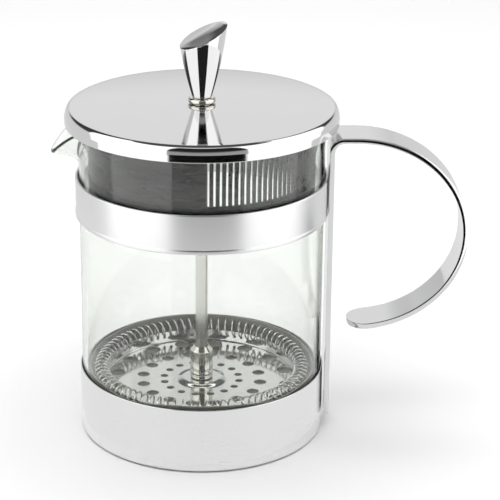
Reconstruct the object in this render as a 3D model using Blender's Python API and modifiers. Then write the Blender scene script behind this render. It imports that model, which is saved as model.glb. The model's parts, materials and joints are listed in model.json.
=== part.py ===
"""A small glass french press, one named object for each separate piece.

Metres, +Z up. The origin is the centre of the cup's underside and Z is the axis of the glass.
The spout points to -X and the handle to +X. The plunger is down, with its knob on the lid's ring.
"""

import math

import bmesh
import bpy
from mathutils import Matrix, Vector

# ---- Clearances ----
GAP = 0.0003  # between pieces that rest on each other
SCREW_GAP = 0.0003  # radial, round a threaded shank or stud
RUNNING_GAP = 0.0003  # radial, round the sliding rod

# ---- Glass beaker ----
GLASS_RADIUS = 0.0484
GLASS_WALL = 0.0018
GLASS_FLOOR = 0.0026
GLASS_HEIGHT = 0.1256
GLASS_CORNER = 0.0050  # outer radius round the foot
SPOUT_START = 0.0215  # below the rim, where the wall begins to lean out
SPOUT_REACH = 0.0109  # of the tip beyond the wall
SPOUT_DROP = 0.0119  # of the tip below the rim
SPOUT_HALF_ANGLE = math.radians(20)
SPOUT_CURL = 7.8  # how late and how tightly the wall turns out
SPOUT_WIDTH_POWER = 1.45
SPOUT_DROP_POWER = 1.8

# ---- Holder: cup, cushion, band and strap ----
CUP_CLEARANCE = 0.0003  # glass to cup, radial
CUP_WALL = 0.0005
CUP_HEIGHT = 0.0267
CUP_CORNER = 0.0015
CUSHION_THICKNESS = 0.0008
CUSHION_INNER_RADIUS = 0.0200
CUSHION_MARGIN = 0.0045  # cushion's edge inside the glass radius
BAND_CLEARANCE = 0.0005  # glass to band, radial
BAND_WALL = 0.0012
BAND_DROP = 0.0205  # upper edge below the glass rim
BAND_HEIGHT = 0.0157
BAND_EDGE = 0.0003  # rounding of the band's edges
STRAP_STANDOFF = 0.0005  # cup to strap
STRAP_THICKNESS = 0.0020
STRAP_WIDTH = 0.0175
STRAP_FOOT = 0.0063  # height of its lower end
STRAP_DROP = 0.0037  # upper face below the glass rim
STRAP_BEND = 0.0050  # bend radius at the middle of the bar
LOOP_REACH = 0.0533  # from the strap's outer face to the loop's furthest point
LOOP_HEIGHT = 0.0801  # from the strap's upper face to the loop's lower face
LOOP_LENGTH = 0.0442  # half axis of the loop along X, to its outer face
TIP_LENGTH = 0.0022  # straight end of the loop
TIP_CORNER = 0.0080  # corner radius of the tip, seen from above

# ---- Lid: cover, liner and bushing ----
LID_OVERHANG = 0.0053  # cover beyond the glass radius
LID_LIP_INSET = 0.0003  # draft of the lip, inwards at its edge
LID_SHEET = 0.0006
LID_LIP_HEIGHT = 0.0011  # lip's lower edge above the glass rim
LID_EDGE_HEIGHT = 0.0074  # top of the shoulder above the glass rim
LID_DOME = 0.0010  # centre above the edge
LID_SHOULDER_DEPTH = 0.0024  # half axes of its section, radial and upright
LID_SHOULDER_RISE = 0.0036
LINER_CLEARANCE = 0.0019  # liner to glass, radial
LINER_FLARE_CLEARANCE = 0.0004
LINER_WALL = 0.0012
LINER_DEPTH = 0.0275  # below the glass rim
LINER_FLARE_DEPTH = 0.0100
LINER_FLANGE_THICKNESS = 0.0012
LINER_FLANGE_INSET = 0.0042  # flange inside the cover's radius
LINER_DISC_HEIGHT = 0.0051  # underside of the disc above the glass rim
LINER_DISC_THICKNESS = 0.0012
LINER_BOSS_RADIUS = 0.0065
SLOT_COUNT = 22
SLOT_PITCH = math.radians(3.05)
SLOT_FIRST = math.radians(-87.0)
SLOT_WIDTH = 0.0009
SLOT_PULL = math.radians(-90.0)  # the mould's side core draws this way
SLOT_LEAN = 0.6  # how far each slot turns from radial towards the pull
SLOT_TOP = 0.0012  # below the glass rim
SLOT_LENGTH = 0.0177
BUSHING_COLLAR = 0.00165  # ring beyond its shank
BUSHING_HEIGHT = 0.0019
BUSHING_SHANK_WALL = 0.0010
BUSHING_NUT_FLATS = 0.0120
BUSHING_NUT_HEIGHT = 0.0026
WASHER_RADIUS = 0.0080
WASHER_THICKNESS = 0.0009

# ---- Plunger: rod and knob ----
ROD_RADIUS = 0.0025
ROD_INSERTION = 0.0084  # of the rod in the hub
STUD_RADIUS = 0.0015
STUD_LENGTH = 0.0088
KNOB_FOOT_RADIUS = 0.0039
KNOB_HEIGHT = 0.0286  # highest point above its foot
KNOB_FLARE = 0.0088  # widening over the height at the foot's slope
KNOB_EASING = 0.0029  # how much of it is lost towards the top
KNOB_SLANT = math.radians(25.8)
KNOB_TURN = math.radians(16.7)  # azimuth of the highest point
KNOB_EDGE = 0.0003

# ---- Plunger: filter stack ----
FILTER_HEIGHT = 0.0185  # top face of the spring plate
PLATE_SHEET = 0.0006
PLATE_RIM_INSET = 0.0016  # inside the middle of the spring
PLATE_RIM_HEIGHT = 0.0020
PLATE_BEND = 0.0008
BOSS_RADIUS = 0.0108
BOSS_HEIGHT = 0.0008
BOSS_SLOPE = 0.0035
SHANK_RADIUS = 0.0024
HUB_WALL = 0.00205  # beyond the rod
HUB_HEIGHT = 0.0117
HUB_CHAMFER = 0.0018  # height
HUB_LAND = 0.0002  # flat left at the top
LOCK_RING_HEIGHT = 0.0017
HOLES_PER_RING = 16
HOLE_RINGS = ((0.392, 0.0393), (0.613, 0.0629), (0.896, 0.0838))  # circle and hole, as shares of the plate
SCREEN_CLEARANCE = 0.0012  # screen to glass, radial
SCREEN_SHEET = 0.0005
SCREEN_RIM_HEIGHT = 0.0098  # above the spring plate's top face
SCREEN_CORNER = 0.0030
SPRING_COIL_RADIUS = 0.0032  # to the middle of the wire
SPRING_WIRE_RADIUS = 0.0004
SPRING_TURNS = 64
SPRING_POINTS_PER_TURN = 6
CROSS_PLATE_SHEET = 0.0007
CROSS_PLATE_MARGIN = 0.0045  # inside the screen's radius
CROSS_HOLE_COUNT = 8
CROSS_HOLE_CIRCLE = 0.0235
CROSS_HOLE_RADIUS = 0.0070
FILTER_NUT_FLATS = 0.0080
FILTER_NUT_HEIGHT = 0.0027

# ---- Segments round a full turn ----
WIDE_STEPS = 48
NARROW_STEPS = 24
SPOUT_STEPS = 14

# ---- Heights and radii that follow from the sizes above ----
CUP_RADIUS = GLASS_RADIUS + CUP_CLEARANCE + CUP_WALL
CUSHION_BOTTOM = CUP_WALL + GAP
GLASS_BOTTOM = CUSHION_BOTTOM + CUSHION_THICKNESS + GAP
GLASS_RIM = GLASS_BOTTOM + GLASS_HEIGHT
GLASS_INNER_RADIUS = GLASS_RADIUS - GLASS_WALL
BAND_INNER_RADIUS = GLASS_RADIUS + BAND_CLEARANCE
BAND_TOP = GLASS_RIM - BAND_DROP
BAND_BOTTOM = BAND_TOP - BAND_HEIGHT
STRAP_INNER = CUP_RADIUS + STRAP_STANDOFF
STRAP_MIDDLE = STRAP_INNER + STRAP_THICKNESS / 2
STRAP_OUTER = STRAP_INNER + STRAP_THICKNESS
STRAP_TOP = GLASS_RIM - STRAP_DROP
LOOP_BOTTOM = STRAP_TOP - LOOP_HEIGHT
LID_RADIUS = GLASS_RADIUS + LID_OVERHANG
LID_TOP = GLASS_RIM + LID_EDGE_HEIGHT + LID_DOME
LINER_RADIUS = GLASS_INNER_RADIUS - LINER_CLEARANCE
LINER_DISC_BOTTOM = GLASS_RIM + LINER_DISC_HEIGHT
LINER_DISC_TOP = LINER_DISC_BOTTOM + LINER_DISC_THICKNESS
ROD_BORE_RADIUS = ROD_RADIUS + RUNNING_GAP
BUSHING_SHANK_RADIUS = ROD_BORE_RADIUS + BUSHING_SHANK_WALL
BUSHING_RADIUS = BUSHING_SHANK_RADIUS + BUSHING_COLLAR
LID_HOLE_RADIUS = BUSHING_SHANK_RADIUS + SCREW_GAP
WASHER_TOP = LINER_DISC_BOTTOM - GAP
BUSHING_NUT_TOP = WASHER_TOP - WASHER_THICKNESS - GAP
BUSHING_FOOT = BUSHING_NUT_TOP - BUSHING_NUT_HEIGHT
BUSHING_SEAT = LID_TOP + GAP
BUSHING_TOP = BUSHING_SEAT + BUSHING_HEIGHT
KNOB_FOOT = BUSHING_TOP + GAP
SHANK_BORE_RADIUS = SHANK_RADIUS + SCREW_GAP
LOCK_RING_BOTTOM = FILTER_HEIGHT + BOSS_HEIGHT + GAP
HUB_BOTTOM = LOCK_RING_BOTTOM + LOCK_RING_HEIGHT + GAP
HUB_TOP = HUB_BOTTOM + HUB_HEIGHT
HUB_RADIUS = ROD_RADIUS + HUB_WALL
HUB_BORE_RADIUS = ROD_RADIUS + SCREW_GAP
SCREEN_RADIUS = GLASS_INNER_RADIUS - SCREEN_CLEARANCE
SCREEN_TOP = FILTER_HEIGHT - PLATE_SHEET - GAP
SPRING_RADIUS = SCREEN_RADIUS - SCREEN_SHEET - GAP - SPRING_WIRE_RADIUS - SPRING_COIL_RADIUS
PLATE_RADIUS = SPRING_RADIUS - PLATE_RIM_INSET
SPRING_HEIGHT = FILTER_HEIGHT + GAP + PLATE_RIM_HEIGHT + SPRING_COIL_RADIUS
CROSS_PLATE_TOP = SCREEN_TOP - SCREEN_SHEET - GAP
FILTER_NUT_TOP = CROSS_PLATE_TOP - CROSS_PLATE_SHEET - GAP
FILTER_FOOT = FILTER_NUT_TOP - FILTER_NUT_HEIGHT


# ---- Scene and materials ----
def clear_scene():
    for item in list(bpy.data.objects):
        bpy.data.objects.remove(item, do_unlink=True)


def new_collection(name):
    group = bpy.data.collections.new(name)
    bpy.context.scene.collection.children.link(group)
    return group


clear_scene()
PRESS = new_collection("french_press")
CUTTERS = new_collection("cutters")
CUTTERS.hide_render = True


def new_material(name, color, metallic, roughness, transmission=0.0):
    """A Principled material in one colour."""
    material = bpy.data.materials.new(name)
    material.use_nodes = True
    shader = material.node_tree.nodes["Principled BSDF"]
    shader.inputs["Base Color"].default_value = (*color, 1.0)
    shader.inputs["Metallic"].default_value = metallic
    shader.inputs["Roughness"].default_value = roughness
    shader.inputs["Transmission Weight"].default_value = transmission
    material.diffuse_color = (*color, 1.0)
    return material


# ---- Building blocks ----
def add_object(name, mesh, material):
    """One piece, shaded smooth with its hard edges kept."""
    mesh.shade_smooth()
    mesh.set_sharp_from_angle(angle=math.radians(35))
    mesh.materials.append(material)
    piece = bpy.data.objects.new(name, mesh)
    PRESS.objects.link(piece)
    return piece


def mesh_from(name, bm):
    mesh = bpy.data.meshes.new(name)
    bm.to_mesh(mesh)
    bm.free()
    return mesh


def add_cutter(name, bm):
    cutter = bpy.data.objects.new(name, mesh_from(name, bm))
    cutter.hide_render = True
    cutter.display_type = "WIRE"
    CUTTERS.objects.link(cutter)
    return cutter


def cut(piece, cutter):
    boolean = piece.modifiers.new(cutter.name, "BOOLEAN")
    boolean.operation = "DIFFERENCE"
    boolean.solver = "EXACT"
    boolean.object = cutter


def arc(center_r, center_z, radius, start_deg, end_deg, steps):
    """Points (r, z) along an arc, both ends included."""
    points = []
    for index in range(steps + 1):
        angle = math.radians(start_deg + (end_deg - start_deg) * index / steps)
        points.append((center_r + radius * math.cos(angle), center_z + radius * math.sin(angle)))
    return points


def turned(name, profile, material, steps, closed=False):
    """A profile of (r, z) points turned about Z. A closed one is a ring, an open one ends on the axis."""
    bm = bmesh.new()
    points = [bm.verts.new((r, 0.0, z)) for r, z in profile]
    for start, end in zip(points, points[1:]):
        bm.edges.new((start, end))
    if closed:
        bm.edges.new((points[-1], points[0]))
    piece = add_object(name, mesh_from(name, bm), material)
    screw = piece.modifiers.new("turn", "SCREW")
    screw.steps = steps
    screw.render_steps = steps
    screw.use_smooth_shade = True
    screw.use_merge_vertices = True
    screw.merge_threshold = 0.00001
    return piece


def ring(name, inner, outer, bottom, top, material, steps):
    """A plain washer."""
    profile = [(inner, top), (outer, top), (outer, bottom), (inner, bottom)]
    return turned(name, profile, material, steps, closed=True)


def hex_nut(name, flats, bore, bottom, height, material):
    """A hexagonal nut on the Z axis."""
    bm = bmesh.new()
    bmesh.ops.create_cone(
        bm,
        cap_ends=True,
        segments=6,
        radius1=flats / 2 / math.cos(math.pi / 6),
        radius2=flats / 2 / math.cos(math.pi / 6),
        depth=height,
    )
    nut = add_object(name, mesh_from(name, bm), material)
    nut.location.z = bottom + height / 2
    hole = bmesh.new()
    bmesh.ops.create_cone(
        hole, cap_ends=True, segments=NARROW_STEPS, radius1=bore, radius2=bore, depth=2 * height
    )
    cutter = add_cutter(name + "_bore", hole)
    cutter.location.z = bottom + height / 2
    cut(nut, cutter)
    return nut


def hole_ring(bm, circle, radius, count, first, height, depth, sides):
    """Adds upright pins on a circle to a cutter."""
    for index in range(count):
        angle = first + 2 * math.pi * index / count
        made = bmesh.ops.create_cone(
            bm, cap_ends=True, segments=sides, radius1=radius, radius2=radius, depth=depth
        )
        place = Vector((circle * math.cos(angle), circle * math.sin(angle), height))
        bmesh.ops.translate(bm, verts=made["verts"], vec=place)


def loft(name, rows, material):
    """A closed body through rows of points, each a ring, between the first and the last row's centre."""
    bm = bmesh.new()
    rings = [[bm.verts.new(point) for point in row] for row in rows]
    for low, high in zip(rings, rings[1:]):
        count = len(low)
        for index in range(count):
            after = (index + 1) % count
            bm.faces.new((low[index], low[after], high[after], high[index]))
    for end in (rings[0], rings[-1]):
        center = sum((point.co for point in end), Vector()) / len(end)
        pole = bm.verts.new(center)
        for index in range(len(end)):
            bm.faces.new((end[index], end[(index + 1) % len(end)], pole))
    bmesh.ops.recalc_face_normals(bm, faces=bm.faces)
    return add_object(name, mesh_from(name, bm), material)


# ---- Holder ----
def make_base_cup(steel):
    """Spun cup: flat floor, rounded foot, straight wall."""
    inner = CUP_RADIUS - CUP_WALL
    foot = arc(CUP_RADIUS - CUP_CORNER, CUP_CORNER, CUP_CORNER, 0, -90, 3)
    heel = arc(CUP_RADIUS - CUP_CORNER, CUP_CORNER, CUP_CORNER - CUP_WALL, -90, 0, 3)
    profile = [(0.0, CUP_WALL), *heel, (inner, CUP_HEIGHT), (CUP_RADIUS, CUP_HEIGHT), *foot, (0.0, 0.0)]
    turned("base_cup", profile, steel, WIDE_STEPS)


def make_base_cushion(silicone):
    """Ring between the cup's floor and the glass."""
    outer = GLASS_RADIUS - CUSHION_MARGIN
    top = CUSHION_BOTTOM + CUSHION_THICKNESS
    ring("base_cushion", CUSHION_INNER_RADIUS, outer, CUSHION_BOTTOM, top, silicone, WIDE_STEPS)


def make_collar_band(steel):
    """Band round the glass, flattened where the strap is welded to it."""
    outer = BAND_INNER_RADIUS + BAND_WALL
    profile = [
        (BAND_INNER_RADIUS, BAND_TOP - BAND_EDGE),
        (BAND_INNER_RADIUS + BAND_EDGE, BAND_TOP),
        (outer - BAND_EDGE, BAND_TOP),
        (outer, BAND_TOP - BAND_EDGE),
        (outer, BAND_BOTTOM + BAND_EDGE),
        (outer - BAND_EDGE, BAND_BOTTOM),
        (BAND_INNER_RADIUS + BAND_EDGE, BAND_BOTTOM),
        (BAND_INNER_RADIUS, BAND_BOTTOM + BAND_EDGE),
    ]
    band = turned("collar_band", profile, steel, WIDE_STEPS, closed=True)
    block = bmesh.new()
    bmesh.ops.create_cube(block, size=1.0)
    bmesh.ops.scale(block, verts=block.verts, vec=(BAND_WALL * 4, STRAP_WIDTH * 2, BAND_HEIGHT * 2))
    cutter = add_cutter("band_flat", block)
    cutter.location = (STRAP_INNER - GAP + BAND_WALL * 2, 0.0, BAND_BOTTOM + BAND_HEIGHT / 2)
    cut(band, cutter)


def strap_path():
    """Points (x, z) along the middle of the bar, from its foot to the loop's tip."""
    top = STRAP_TOP - STRAP_THICKNESS / 2
    bottom = LOOP_BOTTOM + STRAP_THICKNESS / 2
    half_height = (top - bottom) / 2
    half_length = LOOP_LENGTH - STRAP_THICKNESS / 2
    center_x = STRAP_OUTER + LOOP_REACH - LOOP_LENGTH
    center_z = (top + bottom) / 2
    path = [(STRAP_MIDDLE, STRAP_FOOT)]
    path += arc(STRAP_MIDDLE + STRAP_BEND, top - STRAP_BEND, STRAP_BEND, 180, 90, 5)
    for x, z in arc(0.0, 0.0, 1.0, 90, -90, 24):
        path.append((center_x + half_length * x, center_z + half_height * z))
    for index in range(1, 5):
        path.append((center_x - TIP_LENGTH * index / 4, bottom))
    return path


def strap_half_width(to_tip):
    """Half the bar's width at a distance from its tip, whose corners are round."""
    if to_tip >= TIP_CORNER:
        return STRAP_WIDTH / 2
    inset = TIP_CORNER - math.sqrt(TIP_CORNER**2 - (TIP_CORNER - to_tip) ** 2)
    return STRAP_WIDTH / 2 - inset


def make_handle_strap(steel):
    """One flat bar, bent: an open ribbon with its thickness added evenly to both sides."""
    path = strap_path()
    length = sum(math.dist(start, end) for start, end in zip(path, path[1:]))
    bm = bmesh.new()
    rows = []
    along = 0.0
    for index, (x, z) in enumerate(path):
        if index:
            along += math.dist(path[index - 1], path[index])
        half = strap_half_width(length - along)
        rows.append([bm.verts.new((x, side * half, z)) for side in (-1, 1)])
    for low, high in zip(rows, rows[1:]):
        bm.faces.new((low[0], low[1], high[1], high[0]))
    bmesh.ops.recalc_face_normals(bm, faces=bm.faces)
    strap = add_object("handle_strap", mesh_from("handle_strap", bm), steel)
    solidify = strap.modifiers.new("thickness", "SOLIDIFY")
    solidify.thickness = STRAP_THICKNESS
    solidify.offset = 0.0
    solidify.use_even_offset = True


# ---- Glass ----
def spout_shape(azimuth):
    """How far the rim leans out and drops at an azimuth. The spout is centred on -X."""
    off = abs(math.remainder(azimuth - math.pi, 2 * math.pi))
    if off >= SPOUT_HALF_ANGLE:
        return 0.0, 0.0
    share = off / SPOUT_HALF_ANGLE
    reach = SPOUT_REACH * (1 - share**2) ** SPOUT_WIDTH_POWER
    drop = SPOUT_DROP * math.cos(math.pi * share / 2) ** SPOUT_DROP_POWER
    return reach, drop


def glass_outer(azimuth, rise):
    """A point on the outside of the wall. rise goes from 0 where the spout starts to 1 at the rim."""
    reach, drop = spout_shape(azimuth)
    radius = GLASS_RADIUS + reach * rise**SPOUT_CURL
    height = GLASS_RIM - SPOUT_START + (SPOUT_START - drop) * rise
    return Vector((radius * math.cos(azimuth), radius * math.sin(azimuth), height))


def glass_inner(azimuth, rise):
    """The point one wall thickness inside glass_outer."""
    step = 0.001
    across = glass_outer(azimuth + step, rise) - glass_outer(azimuth - step, rise)
    up = glass_outer(azimuth, rise) - glass_outer(azimuth, rise - step)
    return glass_outer(azimuth, rise) - GLASS_WALL * across.cross(up).normalized()


def glass_azimuths():
    """Azimuths of the glass's columns, closer together at the spout."""
    start = math.pi - SPOUT_HALF_ANGLE
    angles = [start + 2 * SPOUT_HALF_ANGLE * index / SPOUT_STEPS for index in range(SPOUT_STEPS)]
    rest = 2 * (math.pi - SPOUT_HALF_ANGLE)
    count = WIDE_STEPS - 6
    angles += [start + 2 * SPOUT_HALF_ANGLE + rest * index / count for index in range(count)]
    return angles


def make_glass_beaker(glass):
    """Straight glass with a thick floor and a pressed spout."""
    azimuths = glass_azimuths()
    rises = [1 - (1 - index / 9) ** 2 for index in range(1, 10)]
    outer_foot = arc(GLASS_RADIUS - GLASS_CORNER, GLASS_BOTTOM + GLASS_CORNER, GLASS_CORNER, -90, 0, 4)
    corner = GLASS_CORNER - GLASS_WALL
    floor = GLASS_BOTTOM + GLASS_FLOOR
    inner_foot = arc(GLASS_INNER_RADIUS - corner, floor + corner, corner, 0, -90, 3)
    start = GLASS_RIM - SPOUT_START

    def circle(radius, height):
        return [Vector((radius * math.cos(a), radius * math.sin(a), height)) for a in azimuths]

    rows = [circle(radius, height) for radius, height in [*outer_foot, (GLASS_RADIUS, start)]]
    rows += [[glass_outer(azimuth, rise) for azimuth in azimuths] for rise in rises]
    rows += [[glass_inner(azimuth, rise) for azimuth in azimuths] for rise in reversed(rises)]
    rows += [circle(radius, height) for radius, height in [(GLASS_INNER_RADIUS, start), *inner_foot]]
    loft("glass_beaker", rows, glass)


# ---- Lid ----
def make_lid_cover(steel):
    """Pressed cover: shallow dome, oval shoulder and a straight lip, with a hole for the bushing."""
    lip = LID_RADIUS - LID_LIP_INSET
    lip_bottom = GLASS_RIM + LID_LIP_HEIGHT
    shoulder_r = LID_RADIUS - LID_SHOULDER_DEPTH
    shoulder_z = GLASS_RIM + LID_EDGE_HEIGHT - LID_SHOULDER_RISE

    def shoulder(sheet, start_deg, end_deg):
        depth, rise = LID_SHOULDER_DEPTH - sheet, LID_SHOULDER_RISE - sheet
        points = arc(0.0, 0.0, 1.0, start_deg, end_deg, 5)
        return [(shoulder_r + depth * r, shoulder_z + rise * z) for r, z in points]

    profile = [
        (LID_HOLE_RADIUS, LID_TOP),
        (LID_RADIUS / 2, LID_TOP - LID_DOME / 4),
        *shoulder(0.0, 88, 0),
        (lip, lip_bottom),
        (lip - LID_SHEET, lip_bottom),
        *shoulder(LID_SHEET, 0, 88),
        (LID_RADIUS / 2, LID_TOP - LID_DOME / 4 - LID_SHEET),
        (LID_HOLE_RADIUS, LID_TOP - LID_SHEET),
    ]
    turned("lid_cover", profile, steel, WIDE_STEPS, closed=True)


def make_lid_liner(plastic):
    """Cup open at the bottom, with a flange on the glass rim, a flared neck and pouring slots."""
    bottom = GLASS_RIM - LINER_DEPTH
    flange_bottom = GLASS_RIM + GAP
    flange_radius = LID_RADIUS - LINER_FLANGE_INSET
    flare = GLASS_INNER_RADIUS - LINER_FLARE_CLEARANCE
    flare_foot = GLASS_RIM - LINER_FLARE_DEPTH
    profile = [
        (LID_HOLE_RADIUS, LID_TOP - LID_SHEET - GAP),
        (LINER_BOSS_RADIUS, LID_TOP - LID_SHEET - GAP),
        (LINER_BOSS_RADIUS, LINER_DISC_TOP),
        (LINER_RADIUS, LINER_DISC_TOP),
        (flare, flange_bottom + LINER_FLANGE_THICKNESS),
        (flange_radius, flange_bottom + LINER_FLANGE_THICKNESS),
        (flange_radius, flange_bottom),
        (flare, flange_bottom),
        (flare, GLASS_RIM - LINER_FLARE_DEPTH / 4),
        ((flare + LINER_RADIUS) / 2, GLASS_RIM - LINER_FLARE_DEPTH / 1.6),
        (LINER_RADIUS, flare_foot),
        (LINER_RADIUS, bottom),
        (LINER_RADIUS - LINER_WALL, bottom),
        (LINER_RADIUS - LINER_WALL, flare_foot),
        (LINER_RADIUS - LINER_WALL, LINER_DISC_BOTTOM),
        (LID_HOLE_RADIUS, LINER_DISC_BOTTOM),
    ]
    liner = turned("lid_liner", profile, plastic, WIDE_STEPS, closed=True)
    slots = bmesh.new()
    depth = 3 * (LINER_WALL + LINER_CLEARANCE)
    radius = LINER_RADIUS - LINER_WALL / 2
    height = GLASS_RIM - SLOT_TOP - SLOT_LENGTH / 2
    for index in range(SLOT_COUNT):
        angle = SLOT_FIRST + SLOT_PITCH * index
        made = bmesh.ops.create_cube(slots, size=1.0)
        bmesh.ops.scale(slots, verts=made["verts"], vec=(depth, SLOT_WIDTH, SLOT_LENGTH))
        turn = Matrix.Rotation(angle + SLOT_LEAN * (SLOT_PULL - angle), 3, "Z")
        bmesh.ops.rotate(slots, verts=made["verts"], cent=(0.0, 0.0, 0.0), matrix=turn)
        center = Vector((radius * math.cos(angle), radius * math.sin(angle), height))
        bmesh.ops.translate(slots, verts=made["verts"], vec=center)
    cut(liner, add_cutter("liner_slots", slots))


def make_rod_bushing(nickel):
    """Ring on the lid with a shank through it, bored for the rod."""
    edge = BUSHING_HEIGHT / 5
    profile = [
        (ROD_BORE_RADIUS, BUSHING_TOP),
        (BUSHING_RADIUS - edge, BUSHING_TOP),
        (BUSHING_RADIUS, BUSHING_TOP - edge),
        (BUSHING_RADIUS, BUSHING_SEAT),
        (BUSHING_SHANK_RADIUS, BUSHING_SEAT),
        (BUSHING_SHANK_RADIUS, BUSHING_FOOT),
        (ROD_BORE_RADIUS, BUSHING_FOOT),
    ]
    turned("rod_bushing", profile, nickel, NARROW_STEPS, closed=True)


def make_bushing_fasteners(steel):
    """Washer and nut that clamp the cover and the liner together."""
    bottom = WASHER_TOP - WASHER_THICKNESS
    ring("bushing_washer", LID_HOLE_RADIUS, WASHER_RADIUS, bottom, WASHER_TOP, steel, NARROW_STEPS)
    hex_nut("bushing_nut", BUSHING_NUT_FLATS, LID_HOLE_RADIUS, BUSHING_FOOT, BUSHING_NUT_HEIGHT, steel)


# ---- Rod and knob ----
def make_plunger_rod(steel):
    """Straight rod with a thinner stud for the knob."""
    profile = [
        (0.0, KNOB_FOOT + STUD_LENGTH),
        (STUD_RADIUS, KNOB_FOOT + STUD_LENGTH),
        (STUD_RADIUS, BUSHING_TOP),
        (ROD_RADIUS, BUSHING_TOP),
        (ROD_RADIUS, HUB_TOP - ROD_INSERTION),
        (0.0, HUB_TOP - ROD_INSERTION),
    ]
    turned("plunger_rod", profile, steel, NARROW_STEPS)


def make_knob(chrome):
    """Flared knob whose side steepens towards the top, cut off by a slanting plane."""
    steps = 14

    def radius_at(share):
        return KNOB_FOOT_RADIUS + KNOB_FLARE * share - KNOB_EASING * share**2

    side = []
    for index in range(steps + 1, -1, -1):
        share = index / steps
        side.append((radius_at(share), KNOB_FOOT + KNOB_EDGE + share * KNOB_HEIGHT))
    bore = STUD_RADIUS + SCREW_GAP
    profile = [
        (0.0, side[0][1]),
        *side,
        (KNOB_FOOT_RADIUS - KNOB_EDGE, KNOB_FOOT),
        (bore, KNOB_FOOT),
        (bore, KNOB_FOOT + STUD_LENGTH + GAP),
        (0.0, KNOB_FOOT + STUD_LENGTH + GAP),
    ]
    knob = turned("knob", profile, chrome, NARROW_STEPS + 8)
    block = bmesh.new()
    bmesh.ops.create_cube(block, size=1.0)
    bmesh.ops.scale(block, verts=block.verts, vec=(KNOB_HEIGHT * 4, KNOB_HEIGHT * 2, KNOB_HEIGHT * 2))
    bmesh.ops.translate(block, verts=block.verts, vec=(0.0, 0.0, KNOB_HEIGHT))
    cutter = add_cutter("knob_slant", block)
    half_rise = radius_at(1.0) * math.tan(KNOB_SLANT)
    cutter.location.z = KNOB_FOOT + KNOB_HEIGHT - half_rise
    cutter.rotation_euler = (0.0, -KNOB_SLANT, KNOB_TURN)
    cut(knob, cutter)


# ---- Filter stack ----
def make_filter_hub(steel):
    """Sleeve that takes the rod, with a shank down through the stack."""
    profile = [
        (HUB_BORE_RADIUS, HUB_TOP),
        (HUB_BORE_RADIUS + HUB_LAND, HUB_TOP),
        (HUB_RADIUS, HUB_TOP - HUB_CHAMFER),
        (HUB_RADIUS, HUB_BOTTOM),
        (SHANK_RADIUS, HUB_BOTTOM),
        (SHANK_RADIUS, FILTER_FOOT),
        (0.0, FILTER_FOOT),
    ]
    bore = [(0.0, HUB_TOP - ROD_INSERTION - GAP), (HUB_BORE_RADIUS, HUB_TOP - ROD_INSERTION - GAP)]
    turned("filter_hub", bore + profile, steel, NARROW_STEPS)


def make_hub_lock_ring(steel):
    top = LOCK_RING_BOTTOM + LOCK_RING_HEIGHT
    ring("hub_lock_ring", SHANK_BORE_RADIUS, HUB_RADIUS, LOCK_RING_BOTTOM, top, steel, NARROW_STEPS)


def make_spring_plate(steel):
    """Shallow dish with a raised boss and three rings of holes. The spring lies on its upright rim."""
    top = FILTER_HEIGHT
    rim = PLATE_RADIUS + PLATE_SHEET
    profile = [
        (SHANK_BORE_RADIUS, top + BOSS_HEIGHT),
        (BOSS_RADIUS - BOSS_SLOPE, top + BOSS_HEIGHT),
        (BOSS_RADIUS, top),
        (PLATE_RADIUS - PLATE_BEND, top),
        (PLATE_RADIUS, top + PLATE_BEND),
        (PLATE_RADIUS, top + PLATE_RIM_HEIGHT),
        (rim, top + PLATE_RIM_HEIGHT),
        (rim, top + PLATE_BEND - PLATE_SHEET),
        (rim - PLATE_BEND, top - PLATE_SHEET),
        (BOSS_RADIUS, top - PLATE_SHEET),
        (BOSS_RADIUS - BOSS_SLOPE, top + BOSS_HEIGHT - PLATE_SHEET),
        (SHANK_BORE_RADIUS, top + BOSS_HEIGHT - PLATE_SHEET),
    ]
    plate = turned("spring_plate", profile, steel, WIDE_STEPS, closed=True)
    holes = bmesh.new()
    first = math.pi / HOLES_PER_RING
    for circle, radius in HOLE_RINGS:
        circle *= PLATE_RADIUS
        radius *= PLATE_RADIUS
        hole_ring(holes, circle, radius, HOLES_PER_RING, first, top, 6 * PLATE_SHEET, 8)
    cut(plate, add_cutter("plate_holes", holes))


def make_rim_spring(steel):
    """A closed helical spring laid round the plate's rim."""
    curve = bpy.data.curves.new("rim_spring", "CURVE")
    curve.dimensions = "3D"
    curve.bevel_depth = SPRING_WIRE_RADIUS
    curve.bevel_resolution = 0
    spline = curve.splines.new("POLY")
    count = SPRING_TURNS * SPRING_POINTS_PER_TURN
    spline.points.add(count - 1)
    spline.use_cyclic_u = True
    for index in range(count):
        azimuth = 2 * math.pi * index / count
        turn = 2 * math.pi * index / SPRING_POINTS_PER_TURN
        radius = SPRING_RADIUS + SPRING_COIL_RADIUS * math.cos(turn)
        height = SPRING_HEIGHT + SPRING_COIL_RADIUS * math.sin(turn)
        spline.points[index].co = (radius * math.cos(azimuth), radius * math.sin(azimuth), height, 1.0)
    curve.materials.append(steel)
    PRESS.objects.link(bpy.data.objects.new("rim_spring", curve))


def make_mesh_screen(woven):
    """Woven screen: flat under the plate, curled up outside the spring."""
    top = FILTER_HEIGHT + SCREEN_RIM_HEIGHT
    corner_r = SCREEN_RADIUS - SCREEN_CORNER
    corner_z = SCREEN_TOP - SCREEN_SHEET + SCREEN_CORNER
    outer_corner = arc(corner_r, corner_z, SCREEN_CORNER, 0, -90, 4)
    inner_corner = arc(corner_r, corner_z, SCREEN_CORNER - SCREEN_SHEET, -90, 0, 4)
    profile = [
        (SCREEN_RADIUS - SCREEN_SHEET, top),
        (SCREEN_RADIUS, top),
        *outer_corner,
        (SHANK_BORE_RADIUS, SCREEN_TOP - SCREEN_SHEET),
        (SHANK_BORE_RADIUS, SCREEN_TOP),
        *inner_corner,
    ]
    turned("mesh_screen", profile, woven, WIDE_STEPS, closed=True)


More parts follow.
